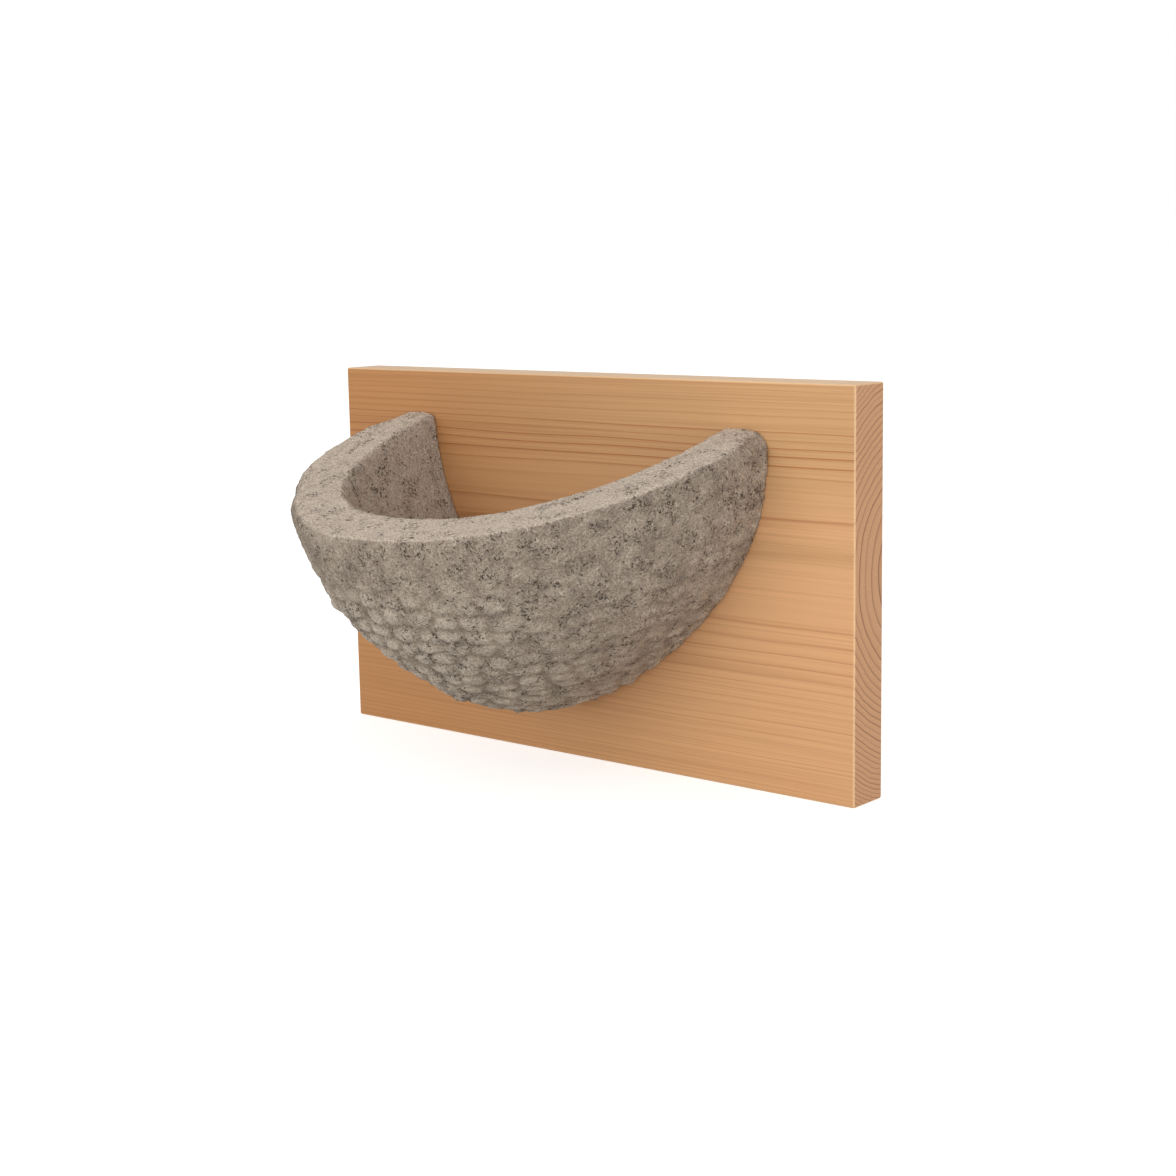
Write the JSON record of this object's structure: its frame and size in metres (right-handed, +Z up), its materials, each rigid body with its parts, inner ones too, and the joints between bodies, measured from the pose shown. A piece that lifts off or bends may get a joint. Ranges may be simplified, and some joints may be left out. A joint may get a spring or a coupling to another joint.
{
  "type": "swallow nest cup",
  "caption": "Open half-bowl bird nest cup of cast wood-concrete with a sloping rim, screwed from behind to a flat softwood wall board.",
  "frame": {"origin": "middle of the board's back face, which lies on the wall", "axes": "+X along the board's long edge, +Y into the wall, +Z up; the cup stands out along -Y"},
  "size_m": [0.25, 0.131, 0.148],
  "materials": {
    "softwood": "planed, untreated",
    "wood_concrete": "rough cast, porous",
    "zinc_steel": "bright zinc plated"
  },
  "bodies": {
    "root": {"backboard": "softwood", "nest_cup": "wood_concrete", "left_screw": "zinc_steel", "right_screw": "zinc_steel", "floor_screw": "zinc_steel"}
  },
  "joints": []
}
